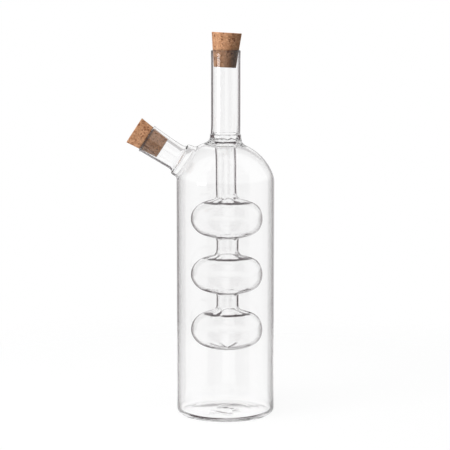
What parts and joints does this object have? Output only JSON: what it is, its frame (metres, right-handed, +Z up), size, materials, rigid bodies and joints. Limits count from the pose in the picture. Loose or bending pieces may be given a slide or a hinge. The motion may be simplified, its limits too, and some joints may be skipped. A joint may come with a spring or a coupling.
{
  "type": "oil and vinegar cruet",
  "caption": "Two-chamber clear glass cruet: a domed outer bottle with a slanted side spout, an inner column of bulbs fed by the neck, and tapered cork stoppers.",
  "frame": {"origin": "middle of the base, on the plane that the cruet stands on", "axes": "+Z up along the body and neck axis; the side spout points towards -X; the XZ plane is the plane of symmetry"},
  "size_m": [0.1071, 0.071, 0.2789],
  "materials": {
    "borosilicate_glass": "clear, flame-worked and fire-polished",
    "granulated_cork": "moulded cork granules, matt"
  },
  "bodies": {
    "bottle": {"bottle_glass": "borosilicate_glass"},
    "neck_stopper": {"neck_cork": "granulated_cork"},
    "spout_stopper": {"spout_cork": "granulated_cork"}
  },
  "joints": [
    {"name": "neck_cork_pull", "type": "slide", "parent": "bottle", "child": "neck_stopper", "axis": [0.0576, 0, 0.9983], "range_m": [0, 0.016]},
    {"name": "spout_cork_pull", "type": "slide", "parent": "bottle", "child": "spout_stopper", "axis": [-0.8387, 0, 0.5446], "range_m": [0, 0.0175]}
  ]
}
